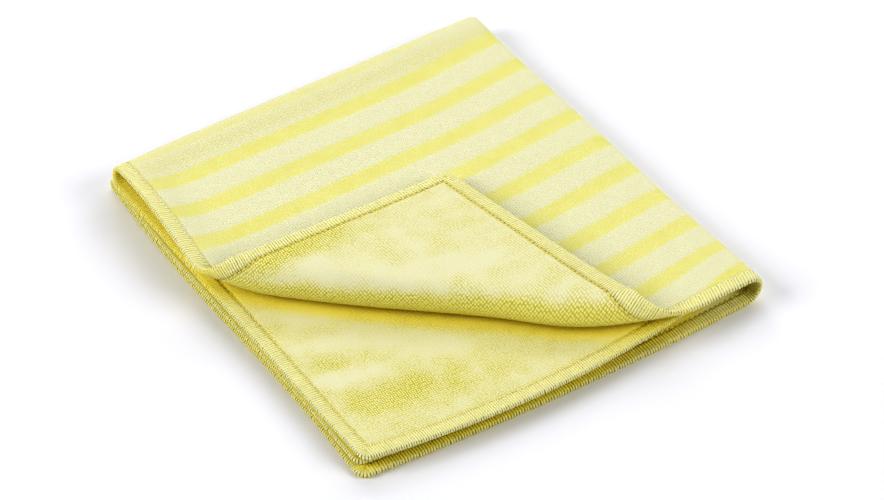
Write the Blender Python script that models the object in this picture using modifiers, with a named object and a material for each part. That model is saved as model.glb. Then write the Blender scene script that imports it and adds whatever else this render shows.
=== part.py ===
"""A microfibre cloth, folded in four, with the free corner of its top layer turned back.

The cloth is one sheet. It is laid out flat around its own middle, with `along` measured
along its stripes and `across` measured over them, and every point is then carried to its
place in the folded stack:

* the back fold runs along the stripes and joins the first layer to the second one, and the
  third layer to the fourth one,
* the right fold runs over the stripes and joins the upper pair of layers to the lower pair,
* the turned corner folds the top layer back on itself along a slanting crease.

Places in the stack are measured from its front left corner: x runs to the right fold, y to
the back fold and z up from the surface that the cloth lies on.
"""

from collections import namedtuple
from math import comb

import bmesh
import bpy
import numpy as np

MM = 0.001
WELD = 0.001 * MM

# The sheet, laid flat.
HALF_LENGTH = 183 * MM
HALF_WIDTH = 200 * MM
THICKNESS = 2.2 * MM
HEM_THICKNESS = 2.6 * MM
HEM_WIDTH = 5 * MM
HEM_STEP = 1 * MM
CORNER_RADIUS = 3.5 * MM

# The stack. LAYER_PITCH is the height from the middle of one layer to the middle of the next.
LAYER_PITCH = 3.1 * MM
FRONT_GAP = 0.9 * MM
FRONT_GAP_DEPTH = 30 * MM
FOLD_BLEND = 6 * MM
STACK_MIDDLE_X = 91.36 * MM
STACK_MIDDLE_Y = 95.97 * MM

# A line in the stack: where it starts, how far it bows out in its middle, where it ends, and
# how far it sways to and fro on its way.
Line = namedtuple("Line", "start bow end sway", defaults=(0.0,))

# x of each layer's left hem, from the front to the back.
LEFT_HEMS = {
    "top": Line(-4.9 * MM, -0.5 * MM, 2.9 * MM),
    "second": Line(3.9 * MM, 0.0, 1.3 * MM),
    "third": Line(2.4 * MM, -0.8 * MM, 2.6 * MM, 1.2 * MM),
    "bottom": Line(1.8 * MM, -0.4 * MM, 2.6 * MM, 1.2 * MM),
}

# y of each layer's front hem, from the left to the right.
FRONT_HEMS = {
    "top": Line(-1.1 * MM, 0.0, -1.1 * MM),
    "second": Line(3.5 * MM, -7.1 * MM, 3.6 * MM),
    "third": Line(5.4 * MM, -6.6 * MM, 8.0 * MM),
    "bottom": Line(1.7 * MM, -3.3 * MM, -0.1 * MM),
}

# The right fold: x of its centre from the front to the back. Its inner turn, between the
# second and the third layer, stands back from the front corner.
RIGHT_FOLD = Line(177.0 * MM, 0.8 * MM, 174.1 * MM)
RIGHT_FOLD_ROUNDNESS = 0.95
INNER_TURN_SETBACK = 24 * MM
INNER_TURN_REACH = 45 * MM

# The back fold: y of its centre from the left to the right, and the radius of its two turns.
BACK_FOLD = Line(189.6 * MM, 0.0, 191.9 * MM)
BACK_TURN_RADIUS_TOP = 2.2 * MM
BACK_TURN_RADIUS_LOW = 1.55 * MM
BACK_TURN_LOW_SHIFT = 1.0 * MM
CREST_DEPTH = 14 * MM

# The open left end of the back fold gapes, and lifts the top layer's left hem.
MOUTH_RADIUS = 1.8 * MM
MOUTH_SETBACK = 5.4 * MM
MOUTH_DEPTH = 18 * MM
HEM_LIFT = 4.8 * MM
HEM_LIFT_DEPTH = 16 * MM
HEM_LIFT_LENGTH = 93 * MM

# The open front end of the right fold stands up like a nose.
NOSE_LIFT = 2.0 * MM
NOSE_DEPTH = 40 * MM
NOSE_LENGTH = 50 * MM

# The slanting crease starts from a straight line that crosses the front hem and the left hem
# at these distances from the front left corner. The bows carry it towards that corner, from
# the left hem to the front hem, as the control values of a smooth curve.
CREASE_ON_FRONT = 136.0 * MM
CREASE_ON_LEFT = 122.9 * MM
CREASE_BOWS = (
    -7.3 * MM,
    9.4 * MM,
    3.7 * MM,
    -0.4 * MM,
    4.6 * MM,
    -13.6 * MM,
)
CREASE_OVERRUN = 0.08

# The roll at the crease: how far it stands out, and half its height, at stations from the
# left hem (0) to the front hem (1). Its belly hangs out further.
Station = namedtuple("Station", "at width height")
ROLL = (
    Station(0.0, 8.8 * MM, 5.9 * MM),
    Station(0.35, 7.9 * MM, 6.2 * MM),
    Station(0.75, 6.6 * MM, 5.0 * MM),
    Station(1.0, 6.6 * MM, 4.5 * MM),
)
BELLY = 5.2 * MM
BELLY_AT = 0.82
BELLY_WIDTH = 0.16

# The turned corner: where its tip lies, and how far from the roll it comes down.
TURNED_TIP = (109.9 * MM, 106.8 * MM)
TURNED_SETTLE = 101 * MM
TURNED_REST = 0.6 * MM

# Soft ridges that lift the second layer, and with it the top one: middle, direction,
# half length, half width and height.
Ridge = namedtuple("Ridge", "x y slope long wide height")
RIDGES = (
    Ridge(32 * MM, 60 * MM, -0.35, 22 * MM, 5.5 * MM, 0.9 * MM),
    Ridge(21 * MM, 51 * MM, -0.10, 11 * MM, 3.5 * MM, -0.5 * MM),
    Ridge(26 * MM, 41 * MM, -0.30, 18 * MM, 5 * MM, 0.6 * MM),
    Ridge(32 * MM, 24 * MM, -0.15, 24 * MM, 8 * MM, -0.5 * MM),
    Ridge(74 * MM, 34 * MM, -0.35, 30 * MM, 9 * MM, 0.8 * MM),
    Ridge(19 * MM, 74 * MM, -1.10, 12 * MM, 4 * MM, -0.4 * MM),
    Ridge(118 * MM, 120 * MM, -0.60, 60 * MM, 22 * MM, 0.8 * MM),
    Ridge(60 * MM, 160 * MM, 0.15, 50 * MM, 14 * MM, 0.6 * MM),
)

# Spacing of the grid lines over the hidden layers and over the open one, and where they
# close up for the turns of the two folds.
HIDDEN_CELL = 23 * MM
OPEN_CELL = 10.5 * MM
RIGHT_TURN = 10 * MM
BACK_TURN = 7 * MM
INNER_TURN = 2.5 * MM
OUTER_TURN_CELLS = 3
INNER_TURN_CELLS = 3

# Extra lines that follow the roll, at these distances past the crease.
ROLL_BAND_START = -2.0 * MM
ROLL_BAND_END = 26.0 * MM
ROLL_CELL = 1.75 * MM
SHORTEST_EDGE = 0.4 * MM

CLOTH_YELLOW = (0.86, 0.80, 0.36, 1.0)


def blend(start, end, share):
    """Value at a share of the way from start to end."""
    return start + (end - start) * share


def ease(start, end, value):
    """Smooth rise from 0 at start to 1 at end."""
    share = np.clip((value - start) / (end - start), 0.0, 1.0)
    return share * share * (3.0 - 2.0 * share)


def bell(distance, reach):
    """Smooth hump that is 1 at no distance and fades over reach."""
    return np.exp(-((distance / reach) ** 2))


def along_line(line, share):
    """Place on a bowed line at a share of its length."""
    bowed = blend(line.start, line.end, share) + 4.0 * line.bow * share * (1.0 - share)
    return bowed + line.sway * np.sin(2.0 * np.pi * share)


def rounded_corner(along, across):
    """The flat sheet's points, drawn in at the corners to the hem's corner radius."""
    p = (np.abs(along) - (HALF_LENGTH - CORNER_RADIUS)) / CORNER_RADIUS
    q = (np.abs(across) - (HALF_WIDTH - CORNER_RADIUS)) / CORNER_RADIUS
    in_corner = (p > 0.0) & (q > 0.0)
    p_round = np.where(in_corner, p * np.sqrt(np.clip(1.0 - q * q / 2.0, 0.0, 1.0)), p)
    q_round = np.where(in_corner, q * np.sqrt(np.clip(1.0 - p * p / 2.0, 0.0, 1.0)), q)
    return (
        np.sign(along) * (HALF_LENGTH - CORNER_RADIUS + p_round * CORNER_RADIUS),
        np.sign(across) * (HALF_WIDTH - CORNER_RADIUS + q_round * CORNER_RADIUS),
    )


def by_layer(lines, share, upper, outer):
    """Place on the four layers' lines, blended where one layer turns into the next.

    upper is 1 on the top two layers and outer is 1 on the first and the fourth one.
    """
    inner_line = blend(along_line(lines["third"], share), along_line(lines["second"], share), upper)
    outer_line = blend(along_line(lines["bottom"], share), along_line(lines["top"], share), upper)
    return blend(inner_line, outer_line, outer)


def ridge_height(x, y):
    """Height of the soft ridges at a place in the stack."""
    height = 0.0 * x
    for ridge in RIDGES:
        norm = np.hypot(1.0, ridge.slope)
        lengthwise = ((x - ridge.x) + (y - ridge.y) * ridge.slope) / norm
        sideways = ((y - ridge.y) - (x - ridge.x) * ridge.slope) / norm
        height = height + ridge.height * bell(lengthwise, ridge.long) * bell(sideways, ridge.wide)
    return height


def roll_size(station):
    """Width, half height and mean radius of the roll at a station along the crease."""
    width = np.full_like(station, ROLL[0].width)
    height = np.full_like(station, ROLL[0].height)
    for before, after in zip(ROLL, ROLL[1:]):
        share = ease(before.at, after.at, station)
        width = width + (after.width - before.width) * share
        height = height + (after.height - before.height) * share
    return width, height, np.sqrt((width**2 + height**2) / 2.0)


def crease_bow(station):
    """How far the crease lies in front of the straight line, as a smooth Bezier curve."""
    share = np.clip((station + CREASE_OVERRUN) / (1.0 + 2.0 * CREASE_OVERRUN), 0.0, 1.0)
    last = len(CREASE_BOWS) - 1
    bow = 0.0 * share
    for number, offset in enumerate(CREASE_BOWS):
        weight = comb(last, number) * share**number * (1.0 - share) ** (last - number)
        bow = bow + offset * weight
    return bow


def crease_frame():
    """Distance of the crease from the front left corner, its unit normal and direction."""
    normal = np.array([1.0 / CREASE_ON_FRONT, 1.0 / CREASE_ON_LEFT])
    distance = 1.0 / np.hypot(*normal)
    normal = normal * distance
    return distance, normal, np.array([normal[1], -normal[0]])


def past_crease(x, y):
    """How far a place lies past the crease, and its station along the crease."""
    distance, normal, direction = crease_frame()
    crease_length = np.hypot(CREASE_ON_FRONT, CREASE_ON_LEFT)
    station = (x * direction[0] + (y - CREASE_ON_LEFT) * direction[1]) / crease_length
    beyond = distance - (x * normal[0] + y * normal[1]) - crease_bow(station)
    return beyond, station


def hem_share(along, across):
    """1 in the hem, 0 in the field of the flat sheet, and a short rise between them."""
    to_edge = np.minimum(HALF_LENGTH - np.abs(along), HALF_WIDTH - np.abs(across))
    return np.clip((HEM_WIDTH + HEM_STEP - to_edge) / HEM_STEP, 0.0, 1.0)


def four_layers(along, across):
    """Points of the sheet folded in four, before the corner is turned back."""
    upper = ease(-FOLD_BLEND, FOLD_BLEND, along)
    outer = ease(-FOLD_BLEND, FOLD_BLEND, across)
    to_right = 1.0 - np.abs(along) / HALF_LENGTH
    to_back = 1.0 - np.abs(across) / HALF_WIDTH
    mouth = bell(HALF_LENGTH - np.abs(along), MOUTH_DEPTH) * upper

    # Depth: the back fold's turn, then straight to the front hems.
    turn_radius = blend(BACK_TURN_RADIUS_LOW, BACK_TURN_RADIUS_TOP, upper) + MOUTH_RADIUS * mouth
    back_centre = (
        along_line(BACK_FOLD, to_right) - MOUTH_SETBACK * mouth + BACK_TURN_LOW_SHIFT * (1.0 - upper)
    )
    quarter_turn = np.pi / 2.0 * turn_radius
    back_angle = np.clip(across / quarter_turn, -1.0, 1.0) * np.pi / 2.0
    back_side = np.sin(back_angle)
    straight = np.clip((np.abs(across) - quarter_turn) / (HALF_WIDTH - quarter_turn), 0.0, 1.0)
    front_hem = by_layer(FRONT_HEMS, to_right, upper, outer)
    y = np.where(
        np.abs(across) < quarter_turn,
        back_centre + turn_radius * np.cos(back_angle),
        blend(back_centre, front_hem, straight),
    )

    # Heights of the four layers at this place.
    left_hem = by_layer(LEFT_HEMS, to_back, upper, outer)
    setback = INNER_TURN_SETBACK * bell(y, INNER_TURN_REACH) * (1.0 - outer)
    right_centre = along_line(RIGHT_FOLD, to_back) - setback
    x_flat = blend(left_hem, right_centre, to_right)
    from_back = np.clip(back_centre - y, 0.0, None)
    at_left = bell(x_flat, HEM_LIFT_DEPTH)
    down_hem = ease(0.0, HEM_LIFT_LENGTH, from_back)
    mid_hem = np.clip(from_back / HEM_LIFT_LENGTH, 0.0, 1.0)
    turn_gap = 2.0 * turn_radius - LAYER_PITCH
    crest = turn_gap * (bell(from_back, CREST_DEPTH) * (1.0 - at_left) + at_left * (1.0 - down_hem))
    lifted_hem = HEM_LIFT * at_left * 4.0 * mid_hem * (1.0 - mid_hem)
    nose = NOSE_LIFT * bell(y, NOSE_LENGTH) * bell(RIGHT_FOLD.start - x_flat, NOSE_DEPTH)
    bottom = blend(THICKNESS, HEM_THICKNESS, hem_share(along, across)) / 2.0
    third = HEM_THICKNESS / 2.0 + LAYER_PITCH + FRONT_GAP * bell(y, FRONT_GAP_DEPTH)
    second = third + LAYER_PITCH + ridge_height(x_flat, y)
    top = second + LAYER_PITCH + crest + lifted_hem + nose
    upper_pair = blend(second, top, (1.0 + back_side) / 2.0)
    lower_pair = blend(third, bottom, (1.0 + back_side) / 2.0)

    # The right fold's turn joins the upper pair to the lower pair.
    half_gap = (upper_pair - lower_pair) / 2.0
    right_radius = half_gap * RIGHT_FOLD_ROUNDNESS
    quarter_right = np.pi / 2.0 * right_radius
    right_angle = np.clip(along / quarter_right, -1.0, 1.0) * np.pi / 2.0
    reach = np.clip((np.abs(along) - quarter_right) / (HALF_LENGTH - quarter_right), 0.0, 1.0)
    x = np.where(
        np.abs(along) < quarter_right,
        right_centre + right_radius * np.cos(right_angle),
        blend(right_centre, left_hem, reach),
    )
    z = (upper_pair + lower_pair) / 2.0 + half_gap * np.sin(right_angle)
    on_top_layer = (along > quarter_right) & (across > quarter_turn)
    return x, y, z, on_top_layer


def turn_corner(x, y, z, on_top_layer):
    """Roll the top layer over the crease and lay its corner back on itself."""
    _, normal, _ = crease_frame()
    beyond, station = past_crease(x, y)
    turned = on_top_layer & (beyond > 0.0)
    width, height, radius = roll_size(station)
    angle = np.clip(beyond / radius, 0.0, np.pi)
    after_roll = np.clip(beyond - np.pi * radius, 0.0, None)

    # The whole corner goes back by the slanting step that brings its tip to its place.
    tip_distance, tip_station = past_crease(np.zeros(1), np.zeros(1))
    _, _, tip_radius = roll_size(tip_station)
    tip_after_roll = tip_distance[0] - np.pi * tip_radius[0]
    step = (np.array(TURNED_TIP) - tip_distance[0] * normal) / tip_after_roll

    outward = (width + BELLY * bell(station - BELLY_AT, BELLY_WIDTH)) * np.sin(angle)
    x_turned = x + (beyond - outward) * normal[0] + after_roll * step[0]
    y_turned = y + (beyond - outward) * normal[1] + after_roll * step[1]
    settled = ease(0.0, TURNED_SETTLE, after_roll)
    over_roll = z + height * (1.0 - np.cos(angle))
    laid_back = blend(z + 2.0 * height, z + LAYER_PITCH + TURNED_REST, settled)
    z_turned = np.where(after_roll > 0.0, laid_back, over_roll)
    return (
        np.where(turned, x_turned, x),
        np.where(turned, y_turned, y),
        np.where(turned, z_turned, z),
    )


def folded(along, across):
    """Where points of the flat sheet lie in the folded cloth, around the stack's middle."""
    along, across = rounded_corner(along, across)
    x, y, z, on_top_layer = four_layers(along, across)
    x, y, z = turn_corner(x, y, z, on_top_layer)
    return np.stack([x - STACK_MIDDLE_X, y - STACK_MIDDLE_Y, z], axis=-1)


def even_steps(start, end, cell):
    """Line places from start to end, with cells no wider than cell, without start."""
    count = max(1, int(np.ceil(abs(end - start) / cell)))
    return [blend(start, end, number / count) for number in range(1, count + 1)]


def grid_lines(half, turn):
    """Places of the grid lines over the sheet, from its hidden hem to its open one.

    Lines follow both hems and the turn of the fold in the middle, and are set wider between
    them over the hidden half than over the open half.
    """
    hem = [half]
    hem += even_steps(half, half - HEM_WIDTH, HEM_WIDTH)
    hem += even_steps(half - HEM_WIDTH, half - HEM_WIDTH - HEM_STEP, HEM_STEP)
    outer_turn = even_steps(turn, INNER_TURN, (turn - INNER_TURN) / OUTER_TURN_CELLS)
    inner_turn = even_steps(INNER_TURN, 0.0, INNER_TURN / INNER_TURN_CELLS)
    hidden = hem + even_steps(hem[-1], turn, HIDDEN_CELL) + outer_turn + inner_turn
    shown = hem + even_steps(hem[-1], turn, OPEN_CELL) + outer_turn + inner_turn[:-1]
    return [-place for place in hidden] + shown[::-1]


def flat_sheet():
    """A flat grid with its lines set close at the hems, the folds and the roll."""
    along_lines = grid_lines(HALF_LENGTH, RIGHT_TURN)
    across_lines = grid_lines(HALF_WIDTH, BACK_TURN)
    columns = len(along_lines) - 1
    rows = len(across_lines) - 1
    bpy.ops.mesh.primitive_grid_add(x_subdivisions=columns, y_subdivisions=rows, size=2.0)
    sheet = bpy.context.object
    mesh = bmesh.new()
    mesh.from_mesh(sheet.data)
    for vert in mesh.verts:
        vert.co.x = along_lines[round((vert.co.x + 1.0) / 2.0 * columns)]
        vert.co.y = across_lines[round((vert.co.y + 1.0) / 2.0 * rows)]
    cut_roll(mesh)
    bmesh.ops.remove_doubles(mesh, verts=mesh.verts[:], dist=SHORTEST_EDGE)
    bmesh.ops.triangulate(mesh, faces=mesh.faces[:])
    mesh.to_mesh(sheet.data)
    mesh.free()
    return sheet


def cut_roll(mesh):
    """Cut the open quarter of the flat sheet along lines that follow the crease.

    Each point is raised by its distance past the crease, so that level cuts run beside the
    crease. The sheet is then flat again.
    """
    raise_past_crease(mesh)
    cuts = round((ROLL_BAND_END - ROLL_BAND_START) / ROLL_CELL)
    for number in range(cuts + 1):
        level = ROLL_BAND_START + number * ROLL_CELL
        faces = [face for face in mesh.faces if in_open_quarter(face)]
        edges = {edge for face in faces for edge in face.edges}
        verts = {vert for face in faces for vert in face.verts}
        bmesh.ops.bisect_plane(
            mesh,
            geom=[*verts, *edges, *faces],
            dist=WELD,
            plane_co=(0.0, 0.0, level),
            plane_no=(0.0, 0.0, 1.0),
        )
    for vert in mesh.verts:
        vert.co.z = 0.0


def raise_past_crease(mesh):
    """Raise the points of the open quarter by their distance past the crease."""
    in_open_columns = [vert for vert in mesh.verts if vert.co.x > RIGHT_TURN - WELD]
    verts = [vert for vert in in_open_columns if vert.co.y > BACK_TURN - WELD]
    along = np.array([vert.co.x for vert in verts])
    across = np.array([vert.co.y for vert in verts])
    x, y, _, _ = four_layers(*rounded_corner(along, across))
    beyond, _ = past_crease(x, y)
    for vert, height in zip(verts, beyond):
        vert.co.z = height


def in_open_quarter(face):
    """True for a face of the flat sheet that lies in the top layer, clear of both folds."""
    middle = face.calc_center_median()
    return middle.x > RIGHT_TURN and middle.y > BACK_TURN


def weigh_hem(sheet):
    """Vertex group that thickens the solid sheet from its field to its hem."""
    group = sheet.vertex_groups.new(name="hem")
    for vert in sheet.data.vertices:
        thickness = blend(THICKNESS, HEM_THICKNESS, hem_share(vert.co.x, vert.co.y))
        group.add([vert.index], float(thickness / HEM_THICKNESS), "REPLACE")


def fold_sheet(sheet):
    """Carry every point of the flat sheet to its place in the folded cloth."""
    flat = np.empty(len(sheet.data.vertices) * 3)
    sheet.data.vertices.foreach_get("co", flat)
    flat = flat.reshape(-1, 3)
    placed = folded(flat[:, 0], flat[:, 1])
    sheet.data.vertices.foreach_set("co", placed.ravel())
    sheet.data.update()


def thicken(sheet):
    """Give the sheet its thickness on both sides of its middle surface."""
    solid = sheet.modifiers.new("thickness", "SOLIDIFY")
    solid.thickness = HEM_THICKNESS
    solid.offset = 0.0
    solid.vertex_group = "hem"
    solid.use_rim = True


def microfibre():
    """Matt knitted polyester microfibre, pale yellow."""
    material = bpy.data.materials.new("knitted_microfibre")
    material.use_nodes = True
    shader = material.node_tree.nodes["Principled BSDF"]
    shader.inputs["Base Color"].default_value = CLOTH_YELLOW
    shader.inputs["Roughness"].default_value = 0.9
    shader.inputs["Metallic"].default_value = 0.0
    return material


def make_cloth():
    """The whole cloth as one folded solid sheet."""
    cloth = flat_sheet()
    cloth.name = "cloth"
    cloth.data.name = "cloth"
    weigh_hem(cloth)
    fold_sheet(cloth)
    thicken(cloth)
    cloth.data.shade_smooth()
    cloth.data.materials.append(microfibre())
    return cloth


def clear_scene():
    """Remove every object of the opened file."""
    for item in list(bpy.data.objects):
        bpy.data.objects.remove(item, do_unlink=True)


def main():
    """Build the cloth in a collection of its own."""
    clear_scene()
    collection = bpy.data.collections.new("folded_microfibre_cloth")
    bpy.context.scene.collection.children.link(collection)
    cloth = make_cloth()
    for owner in list(cloth.users_collection):
        owner.objects.unlink(cloth)
    collection.objects.link(cloth)


main()
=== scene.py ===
"""A knitted microfibre cloth with an overlocked hem, folded in four, one corner turned back.

The cloth and all of its sewing are first modelled flat, as they leave the sewing machine. A
point of the flat cloth has three measures: `along` its stripes, `across` them, and `lift`
above its middle surface, which is positive on the striped face. One fold then carries every
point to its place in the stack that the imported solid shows.

Lengths of the cloth, its sewing and its finishes are in millimetres, and MM turns them to
metres where a piece or a material is finished. The studio is in metres.
"""

import logging
import math
from dataclasses import dataclass
from enum import Enum
from typing import Any

import bpy
import numpy as np
from mathutils import Euler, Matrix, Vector


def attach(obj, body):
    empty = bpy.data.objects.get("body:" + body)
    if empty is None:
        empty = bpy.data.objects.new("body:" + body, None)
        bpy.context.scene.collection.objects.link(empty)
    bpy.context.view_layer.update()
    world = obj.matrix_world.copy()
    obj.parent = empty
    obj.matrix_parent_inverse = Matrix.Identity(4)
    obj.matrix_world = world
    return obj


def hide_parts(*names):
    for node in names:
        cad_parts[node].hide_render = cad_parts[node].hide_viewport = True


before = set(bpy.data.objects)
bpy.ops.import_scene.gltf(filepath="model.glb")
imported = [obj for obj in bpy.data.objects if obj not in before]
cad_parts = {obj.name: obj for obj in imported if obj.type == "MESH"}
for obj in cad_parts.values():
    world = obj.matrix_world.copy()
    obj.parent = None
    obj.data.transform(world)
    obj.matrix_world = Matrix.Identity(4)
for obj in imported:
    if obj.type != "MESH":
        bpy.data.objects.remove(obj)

LOG = logging.getLogger("folded_cloth")

MM = 0.001
IMAGE_WIDTH = 884
SEED = 7

# The sheet's map and the marks on its points, which the finishes read by these names.
FLAT_MAP = "flat_cloth"
# Painted shade in the folds and at the hem shares this mark with the darker yellow knit.
SHOWN_KNIT_AND_SHADE = "shown_knit_and_shade"
CREST_FADE = "faded_crest"
# Painted light: how far a point's colour turns bright gold.
PAINTED_LIGHT_THROUGH = "painted_light_through"

Array = np.ndarray
Places = tuple[Array, ...]
Inputs = dict[str | int, Any]
Point = tuple[float, float, float]
Piece = bpy.types.Object
Tree = bpy.types.NodeTree
Socket = bpy.types.NodeSocket


def blend(start: Any, end: Any, share: Any) -> Any:
    """Value at a share of the way from start to end."""
    return start + (end - start) * share


def ease(start: float, end: float, value: Array) -> Array:
    """Smooth rise from 0 at start to 1 at end."""
    share = np.clip((value - start) / (end - start), 0, 1)
    return share * share * (3 - 2 * share)


def bell(distance: Array, reach: float) -> Array:
    """Smooth hump that is 1 at no distance and fades over reach."""
    return np.exp(-((distance / reach) ** 2))


def arch(share: Array) -> Array:
    """Arch that is 1 halfway and 0 at both ends."""
    return 4 * share * (1 - share)


def even_steps(start: float, end: float, cell: float) -> list[float]:
    """Places after start and up to end, no further apart than cell."""
    count = math.ceil(abs(end - start) / cell)
    return list(np.linspace(start, end, count + 1)[1:])


def bend_round(flat: Array, half: float, radius: Array, centre: Array, hem: Array) -> Places:
    """Bend a layer round a fold and lead it straight on to its hem.

    Args:
        flat: Flat distance from the middle of the fold, negative below it.
        half: Flat distance from the middle of the fold to the hem.
        radius: Radius of the bend.
        centre: Where the bend has its centre.
        hem: Where the hem lies.

    Returns:
        The place, how far the layer has turned from -1 to 1, and whether it is past the bend.
    """
    quarter = np.pi / 2 * radius
    angle = np.clip(flat / quarter, -1, 1) * np.pi / 2
    straight = np.maximum((np.abs(flat) - quarter) / (half - quarter), 0)
    return blend(centre, hem, straight) + radius * np.cos(angle), np.sin(angle), flat > quarter


def deselect_all() -> None:
    """Leave nothing selected, so that an operator acts on new pieces alone."""
    for item in bpy.context.selected_objects:
        item.select_set(False)


def name_new(name: str) -> Piece:
    """Name the object that an operator has just added."""
    bpy.context.object.name = bpy.context.object.data.name = name
    return bpy.context.object


def read_points(mesh: bpy.types.Mesh) -> Array:
    """A mesh's points as an array of rows."""
    return np.array([tuple(point.co) for point in mesh.vertices])


def write_points(mesh: bpy.types.Mesh, points: Array) -> None:
    """Put an array of rows back into a mesh's points."""
    mesh.vertices.foreach_set("co", np.ascontiguousarray(points).ravel())
    mesh.update()


def write_attribute(piece: Piece, name: str, values: Array) -> None:
    """Give each point of a piece a value that its material reads by name."""
    piece.data.attributes.new(name, "FLOAT", "POINT").data.foreach_set("value", values)


def apply_modifier(piece: Piece, kind: str, **settings: Any) -> None:
    """Add a modifier with its settings and apply it.

    Args:
        piece: The object that it works on.
        kind: Blender's name for the modifier.
        **settings: Values of the modifier's own fields.
    """
    deselect_all()
    bpy.context.view_layer.objects.active = piece
    piece.select_set(True)
    bpy.ops.object.modifier_add(type=kind)
    modifier = piece.modifiers[-1]
    for name, value in settings.items():
        setattr(modifier, name, value)
    bpy.ops.object.modifier_apply(modifier=modifier.name)


@dataclass(frozen=True)
class Line:
    """A line in the stack: its two ends, its bow in the middle, and its sway to and fro."""

    start: float
    bow: float
    end: float
    sway: float = 0

    def at(self, share: Array) -> Array:
        """Place on the line at a share of its length."""
        bowed = blend(self.start, self.end, share) + self.bow * arch(share)
        return bowed + self.sway * np.sin(2 * np.pi * share)


@dataclass(frozen=True)
class Hems:
    """One line for each of the four layers, such as their left hems.

    The second and third layers are the inner ones, the top and bottom layers the outer ones.
    """

    top: Line
    second: Line
    third: Line
    bottom: Line

    def at(self, share: Array, upper: Array, outer: Array) -> Array:
        """Place at a share of the lines' length, for shares of an upper and of an outer layer."""
        inner_line = blend(self.third.at(share), self.second.at(share), upper)
        return blend(inner_line, blend(self.bottom.at(share), self.top.at(share), upper), outer)


@dataclass(frozen=True)
class Spot:
    """A soft slanting spot in the stack, such as a ridge in a layer or a patch of darker or paler knit."""

    x: float
    y: float
    slope: float
    long: float
    wide: float
    height: float

    def at(self, x: Array, y: Array) -> Array:
        """Height of the spot at a place in the stack, negative in a hollow."""
        # A complex number turns the place to the spot's own length and width.
        own = (x - self.x + 1j * (y - self.y)) * (1 - 1j * self.slope) / math.hypot(1, self.slope)
        return self.height * bell(own.real, self.long) * bell(own.imag, self.wide)


@dataclass(frozen=True)
class FlatCloth:
    """The cloth as it is cut and overlocked, before it is folded."""

    half_length: float = 183
    half_width: float = 200
    thickness: float = 2.2
    hem_thickness: float = 1.9
    hem_width: float = 5.2
    seam_reach: float = 5.5
    corner_radius: float = 3.5
    stripe_repeat: float = 20
    stripe_phase: float = 0.5
    stripe_edge: float = 0.03
    yellow_share: float = 0.4
    knit_shift: float = 4
    knit_bow: float = 5.6
    knit_bow_reach: float = 40
    nose_stretch: float = 5.5
    nose_stretch_reach: float = 30
    nose_stretch_from: float = 32
    nose_stretch_full: float = 8

    def past_sides(self, along: Array, across: Array) -> Places:
        """How far points lie past the sides of the corners' centres, negative before them."""
        radius = self.corner_radius
        return np.abs(along) - (self.half_length - radius), np.abs(across) - (self.half_width - radius)

    def round_corners(self, along: Array, across: Array) -> Places:
        """Draw the points near the corners in to the hem's corner radius.

        Args:
            along: Flat place along the stripes.
            across: Flat place across them.

        Returns:
            The new `along` and `across`.
        """
        p, q = self.past_sides(along, across)
        in_corner = (p > 0) & (q > 0)
        square = 2 * self.corner_radius**2
        draw_p = p * (1 - np.sqrt(np.clip(1 - q * q / square, 0, 1))) * in_corner
        draw_q = q * (1 - np.sqrt(np.clip(1 - p * p / square, 0, 1))) * in_corner
        return along - np.sign(along) * draw_p, across - np.sign(across) * draw_q

    def from_edge(self, along: Array, across: Array) -> Array:
        """Distance in from the hem's edge."""
        p, q = self.past_sides(along, across)
        return (
            self.corner_radius
            - np.hypot(np.maximum(p, 0), np.maximum(q, 0))
            - np.minimum(np.maximum(p, q), 0)
        )

    def perimeter(self) -> float:
        """Length of the hem's edge."""
        straight = 4 * (self.half_length + self.half_width - 2 * self.corner_radius)
        return straight + 2 * math.pi * self.corner_radius

    def beside_edge(self, run: Array, inward: Array) -> Places:
        """Place beside the hem's edge, which has four straight parts and a turn after each.

        Args:
            run: Distance along the edge, from the middle of the side at +along, towards +across.
            inward: Distance in from the edge, negative outside it.

        Returns:
            The place's `along` and `across`.
        """
        radius = self.corner_radius
        half_side = self.half_width - radius
        half_end = self.half_length - radius
        turn = math.pi / 2 * radius
        lengths = np.array([2 * half_side, turn, 2 * half_end, turn] * 2)
        ends = np.cumsum(lengths)
        place = np.mod(run + half_side, ends[-1])
        part = np.searchsorted(ends, place, side="right").clip(0, len(ends) - 1)
        rest = place - (ends - lengths)[part]
        turning = part % 2 == 1
        heading = math.pi / 2 * (part // 2)
        angle = heading + np.where(turning, rest / radius, 0)
        at_end = part // 2 % 2 == 1
        half = np.where(at_end, half_end, half_side)
        outward = np.where(at_end, half_side, half_end)
        forward = np.where(turning, half, rest - half)
        # Stitches fan out round a corner, so they reach in no further than its centre.
        reach = np.where(turning & (inward > 0), inward * radius / self.seam_reach, inward)
        return (
            outward * np.cos(heading) - forward * np.sin(heading) + (radius - reach) * np.cos(angle),
            outward * np.sin(heading) + forward * np.cos(heading) + (radius - reach) * np.sin(angle),
        )

    def in_knit(self, along: Array, across: Array) -> Array:
        """Place across the knit's rows, which bow towards the fold and draw in at its front end."""
        near_hem = ease(self.nose_stretch_from, self.nose_stretch_full, self.half_width - across)
        return (
            across - self.knit_shift + self.knit_bow * bell(along, self.knit_bow_reach)
            + self.nose_stretch * bell(along, self.nose_stretch_reach) * near_hem
        )

    def stripe(self, row: Array) -> Array:
        """1 on a yellow stripe, 0 on a cream one, and a short rise between them."""
        from_middle = np.abs(np.mod(row / self.stripe_repeat + self.stripe_phase, 1) - 0.5)
        return ease(self.stripe_edge, -self.stripe_edge, from_middle - self.yellow_share / 2)


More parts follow.
